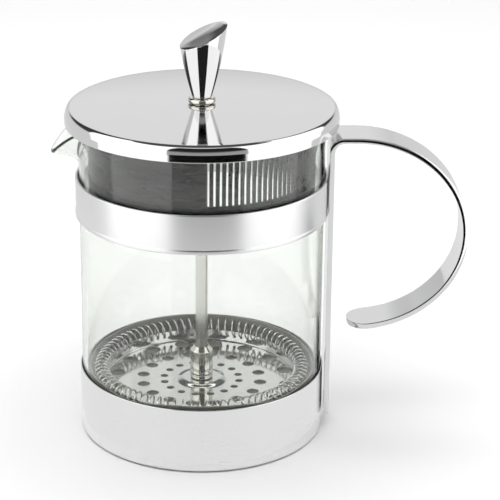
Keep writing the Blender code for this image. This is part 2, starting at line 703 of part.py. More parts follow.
def make_cross_plate(steel):
    """Flat plate that clamps the screen from below, with large round windows."""
    bottom = CROSS_PLATE_TOP - CROSS_PLATE_SHEET
    outer = SCREEN_RADIUS - CROSS_PLATE_MARGIN
    plate = ring("cross_plate", SHANK_BORE_RADIUS, outer, bottom, CROSS_PLATE_TOP, steel, WIDE_STEPS)
    windows = bmesh.new()
    hole_ring(
        windows, CROSS_HOLE_CIRCLE, CROSS_HOLE_RADIUS, CROSS_HOLE_COUNT, 0.0, bottom, 6 * CROSS_PLATE_SHEET, 16
    )
    cut(plate, add_cutter("cross_plate_windows", windows))


def make_filter_nut(steel):
    hex_nut("filter_nut", FILTER_NUT_FLATS, SHANK_BORE_RADIUS, FILTER_FOOT, FILTER_NUT_HEIGHT, steel)


def main():
    polished = new_material("polished_steel", (0.80, 0.80, 0.80), 1.0, 0.12)
    satin = new_material("satin_steel", (0.78, 0.78, 0.79), 1.0, 0.28)
    chrome = new_material("chrome", (0.86, 0.86, 0.86), 1.0, 0.05)
    nickel = new_material("nickel", (0.80, 0.77, 0.70), 1.0, 0.15)
    woven = new_material("woven_steel", (0.42, 0.42, 0.36), 0.8, 0.55)
    glass = new_material("glass", (0.96, 0.98, 0.96), 0.0, 0.02, transmission=1.0)
    plastic = new_material("dark_plastic", (0.06, 0.06, 0.06), 0.0, 0.25)
    silicone = new_material("silicone", (0.70, 0.70, 0.70), 0.0, 0.60)

    make_base_cup(satin)
    make_base_cushion(silicone)
    make_collar_band(polished)
    make_handle_strap(polished)
    make_glass_beaker(glass)
    make_lid_cover(chrome)
    make_lid_liner(plastic)
    make_rod_bushing(nickel)
    make_bushing_fasteners(polished)
    make_knob(chrome)
    make_plunger_rod(polished)
    make_filter_hub(nickel)
    make_hub_lock_ring(nickel)
    make_spring_plate(polished)
    make_rim_spring(polished)
    make_mesh_screen(woven)
    make_cross_plate(polished)
    make_filter_nut(polished)


main()
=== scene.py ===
"""Looks of a small glass french press: fine meshes, materials, studio and camera.

Metres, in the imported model's own frame: +Z up, the glass's axis on Z, spout to -X, handle to +X.
Each fine piece takes its place and main sizes from the CAD node that it stands for.
"""

import json
import math

import bmesh
import bpy
from mathutils import Matrix, Vector


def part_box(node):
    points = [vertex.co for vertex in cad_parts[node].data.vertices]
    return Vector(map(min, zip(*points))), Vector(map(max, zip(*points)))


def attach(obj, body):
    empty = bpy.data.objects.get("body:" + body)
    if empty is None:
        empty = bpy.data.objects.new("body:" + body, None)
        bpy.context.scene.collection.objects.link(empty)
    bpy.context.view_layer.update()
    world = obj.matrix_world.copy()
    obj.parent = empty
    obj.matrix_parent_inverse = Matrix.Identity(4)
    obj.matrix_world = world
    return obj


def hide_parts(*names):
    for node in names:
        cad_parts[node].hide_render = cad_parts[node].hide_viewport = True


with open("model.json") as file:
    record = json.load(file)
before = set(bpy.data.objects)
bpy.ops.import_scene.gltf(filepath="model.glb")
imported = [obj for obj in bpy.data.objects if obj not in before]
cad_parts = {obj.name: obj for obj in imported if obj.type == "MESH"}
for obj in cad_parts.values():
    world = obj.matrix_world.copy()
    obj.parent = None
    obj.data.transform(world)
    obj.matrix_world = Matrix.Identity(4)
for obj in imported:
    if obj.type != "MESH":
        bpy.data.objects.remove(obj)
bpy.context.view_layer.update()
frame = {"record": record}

# ---- Segments round a full turn ----
WIDE = 192
MEDIUM = 96
FINE = 64

# ---- Sizes that the frame doesn't give ----
GLASS_WALL = 0.0018
GLASS_FLOOR = 0.0026
GLASS_CORNER = 0.0050
SPOUT_START = 0.0215  # below the rim
SPOUT_DROP = 0.0119
SPOUT_HALF_ANGLE = math.radians(20)
SPOUT_CURL = 7.8
SPOUT_WIDTH_POWER = 1.45
SPOUT_DROP_POWER = 1.8
SHEET = 0.0006  # lid cover and spring plate
CUP_WALL = 0.0005
STRAP_THICKNESS = 0.0020
STRAP_BEND = 0.0050
LOOP_LENGTH = 0.0442
LOOP_HEIGHT = 0.0801
TIP_LENGTH = 0.0022
TIP_CORNER = 0.0080
GAP = 0.0003
SPRING_TURNS = 80
WIRE_RADIUS = 0.00036
LINER_REACH = 0.0275  # below the glass rim
LID_BORE = 0.0041  # round the bushing's shank
ROD_BORE = 0.0028
STACK_BORE = 0.0027  # round the hub's shank
SLOT_COUNT = 22
SLOT_FIRST = math.radians(-87.0)
SLOT_PITCH = math.radians(3.05)
SLOT_PULL = math.radians(-90.0)  # the mould's side core draws this way
SLOT_LEAN = 0.6  # how far each slot turns from radial towards the pull
SLOT_TOP = 0.0012  # below the glass rim
SLOT_DEPTH = 0.0102
SLOT_WIDTH = 0.0009
SLOT_LENGTH = 0.0177
HOLE_RINGS = ((0.01545, 0.00155), (0.02415, 0.00248), (0.0353, 0.0033))  # radius of the ring, of its holes
HOLES_PER_RING = 16
HOLES_TURN = math.radians(2.2)

# ---- Studio, with azimuths in degrees from the camera's side ----
FLOOR_HALF_SIZE = 4.0
WALL_RADIUS = 0.27
WALL_HEIGHT = 0.60
WALL_END = 150
OPENING_LEFT = -25.5
OPENING_RIGHT = 34
TABLE_REACH = 3.5


class Span:
    """Where a CAD node is: its lowest and highest corners, and its radius about Z."""

    def __init__(self, node):
        self.low, self.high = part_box(node)
        self.radius = self.high.y
        self.bottom = self.low.z
        self.top = self.high.z
        self.height = self.high.z - self.low.z


cup = Span("base_cup")
cushion = Span("base_cushion")
band = Span("collar_band")
strap = Span("handle_strap")
glass = Span("glass_beaker")
cover = Span("lid_cover")
liner = Span("lid_liner")
bushing = Span("rod_bushing")
washer = Span("bushing_washer")
bushing_nut = Span("bushing_nut")
knob = Span("knob")
rod = Span("plunger_rod")
hub = Span("filter_hub")
lock_ring = Span("hub_lock_ring")
plate = Span("spring_plate")
spring = Span("rim_spring")
screen = Span("mesh_screen")
cross = Span("cross_plate")
filter_nut = Span("filter_nut")

GLASS_RADIUS = glass.high.x
GLASS_RIM = liner.bottom + LINER_REACH
SPOUT_REACH = -glass.low.x - GLASS_RADIUS
INNER_RADIUS = GLASS_RADIUS - GLASS_WALL


# ---------------------------------------------------------------- node helpers
def add(tree, kind, inputs=None, **attributes):
    """A shader node with its settings. An input is a value or another node's output."""
    made = tree.nodes.new(kind)
    for name, value in attributes.items():
        setattr(made, name, value)
    for key, value in (inputs or {}).items():
        if isinstance(value, bpy.types.NodeSocket):
            tree.links.new(value, made.inputs[key])
        else:
            made.inputs[key].default_value = value
    return made


def math_node(tree, operation, a, b=0.0, c=0.0):
    return add(tree, "ShaderNodeMath", {0: a, 1: b, 2: c}, operation=operation).outputs[0]


def remap(tree, value, low, high, to_low, to_high):
    inputs = {"Value": value, "From Min": low, "From Max": high, "To Min": to_low, "To Max": to_high}
    return add(tree, "ShaderNodeMapRange", inputs).outputs["Result"]


def mix_colors(tree, share, first, second):
    mixed = add(tree, "ShaderNodeMix", data_type="RGBA")
    for socket, value in ((mixed.inputs[0], share), (mixed.inputs[6], first), (mixed.inputs[7], second)):
        if isinstance(value, bpy.types.NodeSocket):
            tree.links.new(value, socket)
        else:
            socket.default_value = value
    return mixed.outputs[2]


def gray(level, tint=(1.0, 1.0, 1.0)):
    return (level * tint[0], level * tint[1], level * tint[2], 1.0)


def new_material(name):
    """An empty material: its node tree and its Principled shader."""
    material = bpy.data.materials.new(name)
    material.use_nodes = True
    tree = material.node_tree
    return material, tree, tree.nodes["Principled BSDF"]


def separate(tree, vector):
    """The x, y and z sockets of a vector."""
    return add(tree, "ShaderNodeSeparateXYZ", {0: vector}).outputs


def object_xyz(tree):
    return separate(tree, add(tree, "ShaderNodeTexCoord").outputs["Object"])


def distance(tree, x, y):
    squares = math_node(tree, "MULTIPLY_ADD", x, x, math_node(tree, "MULTIPLY", y, y))
    return math_node(tree, "SQRT", squares)


def noise(tree, vector, **inputs):
    """Noise from 0 to 1 over a vector that already has its scale."""
    return add(tree, "ShaderNodeTexNoise", {"Vector": vector, "Scale": 1.0, **inputs}).outputs["Fac"]


def add_relief(tree, shader, height, strength, depth):
    relief = add(tree, "ShaderNodeBump", {"Height": height, "Strength": strength, "Distance": depth})
    tree.links.new(relief.outputs["Normal"], shader.inputs["Normal"])


def object_coordinates(tree, scale):
    coordinates = add(tree, "ShaderNodeTexCoord").outputs["Object"]
    return add(tree, "ShaderNodeMapping", {"Vector": coordinates, "Scale": scale}).outputs["Vector"]


def turned_coordinates(tree, across, around):
    """Coordinates along a turned surface: fine across it, long round it."""
    x, y, z = object_xyz(tree)
    angle = math_node(tree, "ARCTAN2", y, x)
    vector = {
        0: math_node(tree, "MULTIPLY", distance(tree, x, y), across),
        1: math_node(tree, "MULTIPLY", angle, around),
        2: math_node(tree, "MULTIPLY", z, across),
    }
    return add(tree, "ShaderNodeCombineXYZ", vector).outputs[0]


# ---------------------------------------------------------------- materials
def metal(name, level, tint, roughness, spread, grain, bump, smudge=0.01):
    """Steel with fine tool marks along grain, a maker of a vector socket, and faint cloudy wiping marks."""
    material, tree, shader = new_material(name)
    marks = noise(tree, grain(tree), Detail=5.0)
    clouds = noise(tree, object_coordinates(tree, (60, 60, 60)), Detail=3.0, Distortion=0.6)
    fine = remap(tree, marks, 0.3, 0.7, roughness - spread, roughness + spread)
    wiped = remap(tree, clouds, 0.4, 0.75, 0.0, smudge)
    tree.links.new(math_node(tree, "ADD", fine, wiped), shader.inputs["Roughness"])
    shade = mix_colors(tree, clouds, gray(level, tint), gray(level * 0.96, tint))
    tree.links.new(shade, shader.inputs["Base Color"])
    shader.inputs["Metallic"].default_value = 1.0
    if bump:
        add_relief(tree, shader, marks, bump, 0.00002)
    return material


def turned_grain(across, around):
    return lambda tree: turned_coordinates(tree, across, around)


def straight_grain(scale):
    return lambda tree: object_coordinates(tree, scale)


def clear_glass():
    """Clear glass that turns faintly green along its edges, where the light's way through it is long."""
    material, tree, shader = new_material("beaker_glass")
    shader.inputs["Transmission Weight"].default_value = 1.0
    shader.inputs["IOR"].default_value = 1.474
    clouds = noise(tree, object_coordinates(tree, (25, 25, 12)), Detail=2.0)
    tree.links.new(remap(tree, clouds, 0.3, 0.8, 0.0, 0.012), shader.inputs["Roughness"])
    tree.links.new(mix_colors(tree, clouds, gray(0.995), gray(0.985)), shader.inputs["Base Color"])
    body = add(tree, "ShaderNodeVolumeAbsorption", {"Color": (0.80, 0.86, 0.78, 1.0), "Density": 130.0})
    tree.links.new(body.outputs[0], tree.nodes["Material Output"].inputs["Volume"])
    return material


def dark_plastic():
    """Glossy charcoal moulding with a faint flow pattern."""
    material, tree, shader = new_material("liner_plastic")
    flow = noise(tree, turned_coordinates(tree, 300, 3), Detail=3.0)
    tree.links.new(mix_colors(tree, flow, gray(0.012), gray(0.017)), shader.inputs["Base Color"])
    tree.links.new(remap(tree, flow, 0.3, 0.7, 0.23, 0.30), shader.inputs["Roughness"])
    add_relief(tree, shader, flow, 0.04, 0.0001)
    return material


def silicone():
    """Matt translucent grey rubber with a moulded grain."""
    material, tree, shader = new_material("cushion_silicone")
    grain = noise(tree, object_coordinates(tree, (900, 900, 900)), Detail=4.0)
    tree.links.new(mix_colors(tree, grain, gray(0.52), gray(0.60)), shader.inputs["Base Color"])
    tree.links.new(remap(tree, grain, 0.3, 0.7, 0.45, 0.6), shader.inputs["Roughness"])
    shader.inputs["Subsurface Weight"].default_value = 0.15
    shader.inputs["Subsurface Radius"].default_value = (0.001, 0.001, 0.001)
    add_relief(tree, shader, grain, 0.2, 0.00005)
    return material


def woven_steel():
    """Fine plain weave: square across the flat of the screen, drawn upright round its rim."""
    pitch = 0.00042
    material, tree, shader = new_material("woven_screen")
    x, y, z = object_xyz(tree)
    upward = separate(tree, add(tree, "ShaderNodeNewGeometry").outputs["True Normal"])[2]
    flat = math_node(tree, "GREATER_THAN", math_node(tree, "ABSOLUTE", upward), 0.7)
    around = math_node(tree, "MULTIPLY", math_node(tree, "ARCTAN2", y, x), screen.radius)

    def choose(on_flat, on_rim):
        wanted = math_node(tree, "MULTIPLY", on_flat, flat)
        other = math_node(tree, "MULTIPLY", on_rim, math_node(tree, "SUBTRACT", 1.0, flat))
        return math_node(tree, "MULTIPLY", math_node(tree, "ADD", wanted, other), math.pi / pitch)

    warp = math_node(tree, "SINE", choose(x, around))
    weft = math_node(tree, "SINE", choose(y, z))
    wires = math_node(tree, "MAXIMUM", math_node(tree, "ABSOLUTE", warp), math_node(tree, "ABSOLUTE", weft))
    tree.links.new(
        mix_colors(tree, wires, gray(0.16, (1.0, 0.98, 0.86)), gray(0.62, (1.0, 0.985, 0.88))),
        shader.inputs["Base Color"],
    )
    shader.inputs["Metallic"].default_value = 0.85
    tree.links.new(remap(tree, wires, 0.5, 1.0, 0.60, 0.42), shader.inputs["Roughness"])
    add_relief(tree, shader, wires, 0.7, 0.0001)
    return material


COOL = (1.0, 1.0, 1.005)
WARM = (1.0, 0.975, 0.90)
ROD_TINT = (1.0, 0.99, 0.95)
WIRE_TINT = (1.0, 0.99, 0.96)
PLATE_TINT = (1.0, 1.0, 0.98)
MATERIALS = {
    "satin_steel": metal("cup_steel", 0.86, COOL, 0.25, 0.02, turned_grain(2500, 6), 0.05, 0.02),
    "polished_steel": metal("polished_steel", 0.78, COOL, 0.09, 0.02, straight_grain((30, 1800, 30)), 0.02),
    "band_steel": metal("band_steel", 0.84, COOL, 0.30, 0.01, turned_grain(2500, 5), 0.01),
    "chrome": metal("chrome", 0.80, COOL, 0.03, 0.01, straight_grain((200, 200, 200)), 0.0),
    "cover_chrome": metal("cover_chrome", 0.78, COOL, 0.07, 0.012, turned_grain(2200, 3), 0.01),
    "nickel": metal("nickel", 0.76, WARM, 0.08, 0.02, turned_grain(3000, 4), 0.02),
    "rod_steel": metal("rod_steel", 0.74, ROD_TINT, 0.20, 0.04, turned_grain(1500, 3), 0.05),
    "spring_steel": metal("spring_steel", 0.78, WIRE_TINT, 0.12, 0.02, straight_grain((900, 900, 900)), 0.0),
    "plate_steel": metal("plate_steel", 0.76, PLATE_TINT, 0.10, 0.02, turned_grain(1800, 3), 0.02),
    "woven_steel": woven_steel(),
    "glass": clear_glass(),
    "dark_plastic": dark_plastic(),
    "silicone": silicone(),
}
BODY_OF = {node: body for body, nodes in frame["record"]["behaviour"]["bodies"].items() for node in nodes}
SLOT_OF = {part["node"]: part["material_slot"] for part in frame["record"]["subparts"]}


# ---------------------------------------------------------------- mesh helpers
def finish_piece(piece, node, material=None):
    """Joins a finished piece to its CAD node's body, in that node's slot."""
    slot = SLOT_OF[node]
    piece.data.materials.clear()
    piece.data.materials.append(MATERIALS[material or slot])
    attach(piece, BODY_OF[node])
    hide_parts(node)
    return piece


def object_from(name, bm, sharp_angle=40):
    mesh = bpy.data.meshes.new(name)
    bm.to_mesh(mesh)
    bm.free()
    mesh.shade_smooth()
    mesh.set_sharp_from_angle(angle=math.radians(sharp_angle))
    piece = bpy.data.objects.new(name, mesh)
    bpy.context.scene.collection.objects.link(piece)
    return piece


def rounded(corners, closed=False, steps=5):
    """Points along an outline of (r, z) or (r, z, fillet) corners. A flat beside a fillet keeps its shading
    through one more point close to the fillet's end."""
    points = []
    count = len(corners)
    for index, corner in enumerate(corners):
        here = Vector(corner[:2])
        fillet = corner[2] if len(corner) > 2 else 0.0
        if not fillet or (not closed and index in (0, count - 1)):
            points.append(here)
            continue
        back = Vector(corners[index - 1][:2]) - here
        ahead = Vector(corners[(index + 1) % count][:2]) - here
        half = back.angle(ahead) / 2
        reach = fillet / math.tan(half)
        start = here + back.normalized() * reach
        end = here + ahead.normalized() * reach
        middle = here + (back.normalized() + ahead.normalized()).normalized() * fillet / math.sin(half)
        margin = fillet * 0.3
        if back.length > reach + 3 * margin:
            points.append(start + back.normalized() * margin)
        turn = (start - middle).angle_signed(end - middle)
        for step in range(steps + 1):
            arm = start - middle
            arm.rotate(Matrix.Rotation(-turn * step / steps, 2))
            points.append(middle + arm)
        if ahead.length > reach + 3 * margin:
            points.append(end + ahead.normalized() * margin)
    return [(point.x, point.y) for point in points]


def arc(center_r, center_z, radius, start_deg, end_deg, steps):
    points = []
    for index in range(steps + 1):
        angle = math.radians(start_deg + (end_deg - start_deg) * index / steps)
        points.append((center_r + radius * math.cos(angle), center_z + radius * math.sin(angle)))
    return points


def turned_mesh(profile, steps, closed=False):
    """A bmesh of a profile of (r, z) points turned about Z."""
    bm = bmesh.new()
    rows = []
    for r, z in profile:
        if r < 1e-6:
            rows.append([bm.verts.new((0.0, 0.0, z))])
            continue
        angles = [2 * math.pi * index / steps for index in range(steps)]
        rows.append([bm.verts.new((r * math.cos(angle), r * math.sin(angle), z)) for angle in angles])
    pairs = list(zip(rows, rows[1:]))
    if closed:
        pairs.append((rows[-1], rows[0]))
    for first, second in pairs:
        for index in range(steps):
            after = (index + 1) % steps
            corners = []
            for vert in (first[index % len(first)], first[after % len(first)]):
                if vert not in corners:
                    corners.append(vert)
            for vert in (second[after % len(second)], second[index % len(second)]):
                if vert not in corners:
                    corners.append(vert)
            if len(corners) > 2:
                bm.faces.new(corners)
    bmesh.ops.recalc_face_normals(bm, faces=bm.faces)
    return bm


def turned(name, profile, steps=MEDIUM, closed=False):
    return object_from(name, turned_mesh(profile, steps, closed))


def cut_with(piece, bm, bevel=0.0):
    """Cuts a bmesh out of a piece, then keeps the result as its mesh."""
    bmesh.ops.recalc_face_normals(bm, faces=bm.faces)
    cutter = object_from(piece.name + "_cutter", bm)
    boolean = piece.modifiers.new("cut", "BOOLEAN")
    boolean.operation = "DIFFERENCE"
    boolean.solver = "EXACT"
    boolean.object = cutter
    if bevel:
        edge = piece.modifiers.new("edge", "BEVEL")
        edge.width = bevel
        edge.segments = 2
        edge.limit_method = "ANGLE"
        edge.angle_limit = math.radians(40)
    keep_result(piece)
    bpy.data.objects.remove(cutter, do_unlink=True)


def keep_result(piece, sharp_angle=40):
    """Turns the modifiers' result into the piece's own mesh."""
    bpy.context.view_layer.update()
    graph = bpy.context.evaluated_depsgraph_get()
    mesh = bpy.data.meshes.new_from_object(piece.evaluated_get(graph))
    piece.modifiers.clear()
    piece.data = mesh
    mesh.shade_smooth()
    mesh.set_sharp_from_angle(angle=math.radians(sharp_angle))


def add_pin(bm, place, radius, depth, sides=24, matrix=None):
    """Adds a round bar along Z, or along the matrix's Z, to a cutter."""
    made = bmesh.ops.create_cone(
        bm, cap_ends=True, segments=sides, radius1=radius, radius2=radius, depth=depth
    )
    if matrix is not None:
        bmesh.ops.transform(bm, verts=made["verts"], matrix=matrix)
    bmesh.ops.translate(bm, verts=made["verts"], vec=place)


def on_circle(radius, angle, z=0.0):
    return Vector((radius * math.cos(angle), radius * math.sin(angle), z))


# ---------------------------------------------------------------- holder
def make_base_cup():
    """Spun cup with a rounded foot, a turned lip and a shallow dimple under its middle."""
    outer = cup.radius
    inner = outer - CUP_WALL
    dimple = 0.016
    profile = rounded(
        [
            (0.0, CUP_WALL + 0.0002),
            (dimple, CUP_WALL + 0.0002, 0.004),
            (dimple + 0.002, CUP_WALL, 0.004),
            (inner, CUP_WALL, 0.0011),
            (inner, cup.top, 0.0002),
            (outer, cup.top, 0.0002),
            (outer, 0.0, 0.0016),
            (dimple + 0.002, 0.0, 0.004),
            (dimple, 0.0002, 0.004),
            (0.0, 0.0002),
        ],
        steps=6,
    )
    finish_piece(turned("cup", profile, WIDE), "base_cup")


def make_base_cushion():
    """Silicone ring with rounded edges and two raised ribs that carry the glass."""
    inner = 0.0200
    top = cushion.top
    rib = 0.00025
    corners = [(inner, cushion.bottom, 0.0002), (inner, top - rib, 0.0002)]
    for middle in (inner + 0.006, cushion.radius - 0.004):
        corners += [(middle - 0.0016, top - rib, 0.0004), (middle - 0.0010, top, 0.0003)]
        corners += [(middle + 0.0010, top, 0.0003), (middle + 0.0016, top - rib, 0.0004)]
    corners += [(cushion.radius, top - rib, 0.0002), (cushion.radius, cushion.bottom, 0.0002)]
    piece = turned("cushion", rounded(corners, closed=True, steps=3), MEDIUM, closed=True)
    finish_piece(piece, "base_cushion")


def make_collar_band():
    """Band with a soft upper edge and a small bead along its lower edge, pressed flat under the strap."""
    inner = GLASS_RADIUS + 0.0005
    face = band.radius - 0.0002
    corners = [
        (inner, band.bottom, 0.0003),
        (inner, band.top, 0.0003),
        (face, band.top, 0.0005),
        (face, band.bottom + 0.00175, 0.0002),
        (band.radius, band.bottom + 0.00135, 0.0002),
        (band.radius, band.bottom, 0.0004),
    ]
    bm = turned_mesh(rounded(corners, closed=True, steps=5), WIDE * 2, closed=True)
    flat = strap.low.x - GAP
    middle = (inner + flat) / 2
    for vert in bm.verts:
        if vert.co.x > flat:
            vert.co.x = flat - (0.0 if vert.co.x > middle else 0.0001)
    finish_piece(object_from("band", bm), "collar_band", "band_steel")


def strap_path():
    """Points (x, z) along the middle of the bar from its foot to its tip."""
    middle = strap.low.x + STRAP_THICKNESS / 2
    top = strap.top - STRAP_THICKNESS / 2
    bottom = strap.top - LOOP_HEIGHT + STRAP_THICKNESS / 2
    half_length = LOOP_LENGTH - STRAP_THICKNESS / 2
    center_x = strap.high.x - LOOP_LENGTH
    path = [(middle, strap.bottom), (middle, strap.bottom + 0.0006)]
    path += [(middle, strap.bottom + (top - STRAP_BEND - strap.bottom) * index / 6) for index in range(1, 6)]
    path += arc(middle + STRAP_BEND, top - STRAP_BEND, STRAP_BEND, 180, 90, 12)
    for x, z in arc(0.0, 0.0, 1.0, 90, -90, 96):
        path.append((center_x + half_length * x, (top + bottom) / 2 + (top - bottom) / 2 * z))
    path += [(center_x - TIP_LENGTH * index / 6, bottom) for index in range(1, 7)]
    return path


def strap_half_width(to_tip):
    if to_tip >= TIP_CORNER:
        return strap.high.y
    return strap.high.y - TIP_CORNER + math.sqrt(TIP_CORNER**2 - (TIP_CORNER - to_tip) ** 2)


def make_handle_strap():
    """One flat bar, bent, with softened edges and a rounded tip."""
    path = strap_path()
    length = sum(math.dist(start, end) for start, end in zip(path, path[1:]))
    bm = bmesh.new()
    columns = [-1.0, -0.93, -0.5, 0.0, 0.5, 0.93, 1.0]
    rows = []
    along = 0.0
    for index, (x, z) in enumerate(path):
        if index:
            along += math.dist(path[index - 1], path[index])
        half = strap_half_width(length - along)
        rows.append([bm.verts.new((x, column * half, z)) for column in columns])
    for low, high in zip(rows, rows[1:]):
        for index in range(len(columns) - 1):
            bm.faces.new((low[index], low[index + 1], high[index + 1], high[index]))
    bmesh.ops.recalc_face_normals(bm, faces=bm.faces)
    piece = object_from("handle", bm)
    thickness = piece.modifiers.new("thickness", "SOLIDIFY")
    thickness.thickness = STRAP_THICKNESS
    thickness.offset = 0.0
    thickness.use_even_offset = True
    edge = piece.modifiers.new("edge", "BEVEL")
    edge.width = 0.00035
    edge.segments = 3
    edge.harden_normals = True
    edge.limit_method = "ANGLE"
    edge.angle_limit = math.radians(50)
    keep_result(piece)
    finish_piece(piece, "handle_strap")


# ---------------------------------------------------------------- glass
def spout_shape(azimuth):
    """How far the rim leans out and drops at an azimuth."""
    off = abs(math.remainder(azimuth - math.pi, 2 * math.pi))
    if off >= SPOUT_HALF_ANGLE:
        return 0.0, 0.0
    share = off / SPOUT_HALF_ANGLE
    reach = SPOUT_REACH * (1 - share**2) ** SPOUT_WIDTH_POWER
    drop = SPOUT_DROP * math.cos(math.pi * share / 2) ** SPOUT_DROP_POWER
    return reach, drop


def wall_point(azimuth, rise):
    """A point on the outside of the wall, from 0 where the spout starts to 1 at the rim."""
    reach, drop = spout_shape(azimuth)
    radius = GLASS_RADIUS + reach * max(rise, 0.0) ** SPOUT_CURL
    return on_circle(radius, azimuth, GLASS_RIM - SPOUT_START + (SPOUT_START - drop) * rise)


def wall_frame(azimuth, rise):
    """The wall's outward normal there, its upward direction, and its length per unit of rise."""
    step = 0.001
    across = wall_point(azimuth + step, rise) - wall_point(azimuth - step, rise)
    up = wall_point(azimuth, rise) - wall_point(azimuth, rise - step)
    return across.cross(up).normalized(), up.normalized(), up.length / step


def make_glass_beaker():
    """Blown glass: thick floor, round heel, fire-polished rim and a pressed spout."""
    spout_columns = 72
    rest_columns = 168
    start = math.pi - SPOUT_HALF_ANGLE
    azimuths = [start + 2 * SPOUT_HALF_ANGLE * index / spout_columns for index in range(spout_columns)]
    rest = 2 * (math.pi - SPOUT_HALF_ANGLE)
    azimuths += [start + 2 * SPOUT_HALF_ANGLE + rest * index / rest_columns for index in range(rest_columns)]
    wall_foot = GLASS_RIM - SPOUT_START
    corner = GLASS_CORNER - GLASS_WALL
    floor = glass.bottom + GLASS_FLOOR
    outside = arc(GLASS_RADIUS - GLASS_CORNER, glass.bottom + GLASS_CORNER, GLASS_CORNER, -90, 0, 12)
    outside += [(GLASS_RADIUS, glass.bottom + GLASS_CORNER + 0.0005), (GLASS_RADIUS, wall_foot - 0.001)]
    inside = [(INNER_RADIUS, wall_foot - 0.001), (INNER_RADIUS, floor + corner + 0.0005)]
    inside += arc(INNER_RADIUS - corner, floor + corner, corner, 0, -90, 10)
    rises = [index / 26 for index in range(1, 14)]
    rises += [1 - 0.5 * (1 - index / 22) ** 2 for index in range(1, 22)]
    half = GLASS_WALL / 2

    bm = bmesh.new()
    columns = []
    for azimuth in azimuths:
        last = 1.0 - half / wall_frame(azimuth, 1.0)[2]
        column = [on_circle(r, azimuth, z) for r, z in [(0.02, glass.bottom), *outside]]
        outer = [wall_point(azimuth, rise * last) for rise in rises]
        inner = []
        for rise, point in zip(rises, outer):
            inner.append(point - GLASS_WALL * wall_frame(azimuth, rise * last)[0])
        column += outer
        normal, up, _ = wall_frame(azimuth, last)
        end = wall_point(azimuth, last)
        for step in range(9):
            angle = math.pi * step / 8
            column.append(end - normal * half + half * (math.cos(angle) * normal + math.sin(angle) * up))
        column += reversed(inner)
        column += [on_circle(r, azimuth, z) for r, z in [*inside, (0.02, floor)]]
        columns.append([bm.verts.new(point) for point in column])
    for index, column in enumerate(columns):
        other = columns[(index + 1) % len(columns)]
        for row in range(len(column) - 1):
            bm.faces.new((column[row], other[row], other[row + 1], column[row + 1]))
    for row, height in ((0, glass.bottom), (-1, floor)):
        pole = bm.verts.new((0.0, 0.0, height))
        for index, column in enumerate(columns):
            bm.faces.new((column[row], columns[(index + 1) % len(columns)][row], pole))
    bmesh.ops.remove_doubles(bm, verts=bm.verts, dist=1e-7)
    bmesh.ops.recalc_face_normals(bm, faces=bm.faces)
    finish_piece(object_from("beaker", bm, 60), "glass_beaker")


# ---------------------------------------------------------------- lid
def make_lid_cover():
    """Pressed cover: a shallow dome, an oval shoulder, a narrow cone and a straight lip."""
    hole = LID_BORE
    dome = 0.0010
    depth, rise = 0.0022, 0.0030  # half axes of the shoulder
    cone_height, cone_inset = 0.0014, 0.00035
    edge = cover.top - dome
    start = 21.4
    crown_radius = cover.radius - cone_inset - depth * math.cos(math.radians(start))
    top = []
    for index in range(25):
        r = hole + (crown_radius - hole) * index / 24
        top.append((r, cover.top - dome * (r / crown_radius) ** 2.4))

    def shoulder(sheet, start_deg, end_deg, steps):
        points = arc(0.0, 0.0, 1.0, start_deg, end_deg, steps)
        return [(crown_radius + (depth - sheet) * r, edge - rise + (rise - sheet) * z) for r, z in points]

    outer = shoulder(0.0, 87, start, 16)
    foot = outer[-1][1] - cone_height
    lower = rounded(
        [
            outer[-1],
            (cover.radius, foot, 0.0012),
            (cover.radius, cover.bottom, 0.00025),
            (cover.radius - SHEET, cover.bottom, 0.00025),
            (cover.radius - SHEET, foot),
        ],
        steps=4,
    )
    under = [(r, z - SHEET) for r, z in reversed(top[1:-1])]
    profile = top[:-1] + outer[:-1] + lower + shoulder(SHEET, start, 90, 8)
    profile += [*under, (hole, cover.top - SHEET)]
    piece = turned("cover", profile, WIDE * 2, closed=True)
    finish_piece(piece, "lid_cover", "cover_chrome")


def make_lid_liner():
    """Moulded cup under the lid: flange, flared neck and pouring slots."""
    outer = INNER_RADIUS - 0.0019
    wall = 0.0012
    flare = INNER_RADIUS - 0.0004
    disc_bottom = washer.top + GAP
    disc_top = disc_bottom + 0.0012
    flange_bottom = GLASS_RIM + GAP
    flange_top = flange_bottom + 0.0012
    hole = LID_BORE
    boss = 0.0065
    profile = rounded(
        [
            (hole, liner.top, 0.0002),
            (boss, liner.top, 0.0004),
            (boss, disc_top, 0.0004),
            (outer, disc_top, 0.0010),
            (flare, flange_top, 0.0010),
            (liner.radius, flange_top, 0.0003),
            (liner.radius, flange_bottom, 0.0003),
            (flare, flange_bottom, 0.0006),
            (flare, GLASS_RIM - 0.0028, 0.0100),
            (outer, GLASS_RIM - 0.0105, 0.0100),
            (outer, liner.bottom, 0.0005),
            (outer - wall, liner.bottom, 0.0005),
            (outer - wall, disc_bottom, 0.0010),
            (hole, disc_bottom, 0.0002),
        ],
        closed=True,
        steps=6,
    )
    piece = turned("liner", profile, WIDE, closed=True)
    cutters = bmesh.new()
    middle = GLASS_RIM - SLOT_TOP - SLOT_LENGTH / 2
    size = Matrix.Diagonal((SLOT_DEPTH, SLOT_WIDTH, SLOT_LENGTH, 1.0))
    for index in range(SLOT_COUNT):
        angle = SLOT_FIRST + SLOT_PITCH * index
        turn = Matrix.Rotation(angle + SLOT_LEAN * (SLOT_PULL - angle), 4, "Z")
        body = bmesh.ops.create_cube(cutters, size=1.0)
        place = Matrix.Translation(on_circle(outer - wall / 2, angle, middle))
        bmesh.ops.transform(cutters, verts=body["verts"], matrix=place @ turn @ size)
    cut_with(piece, cutters)
    finish_piece(piece, "lid_liner")


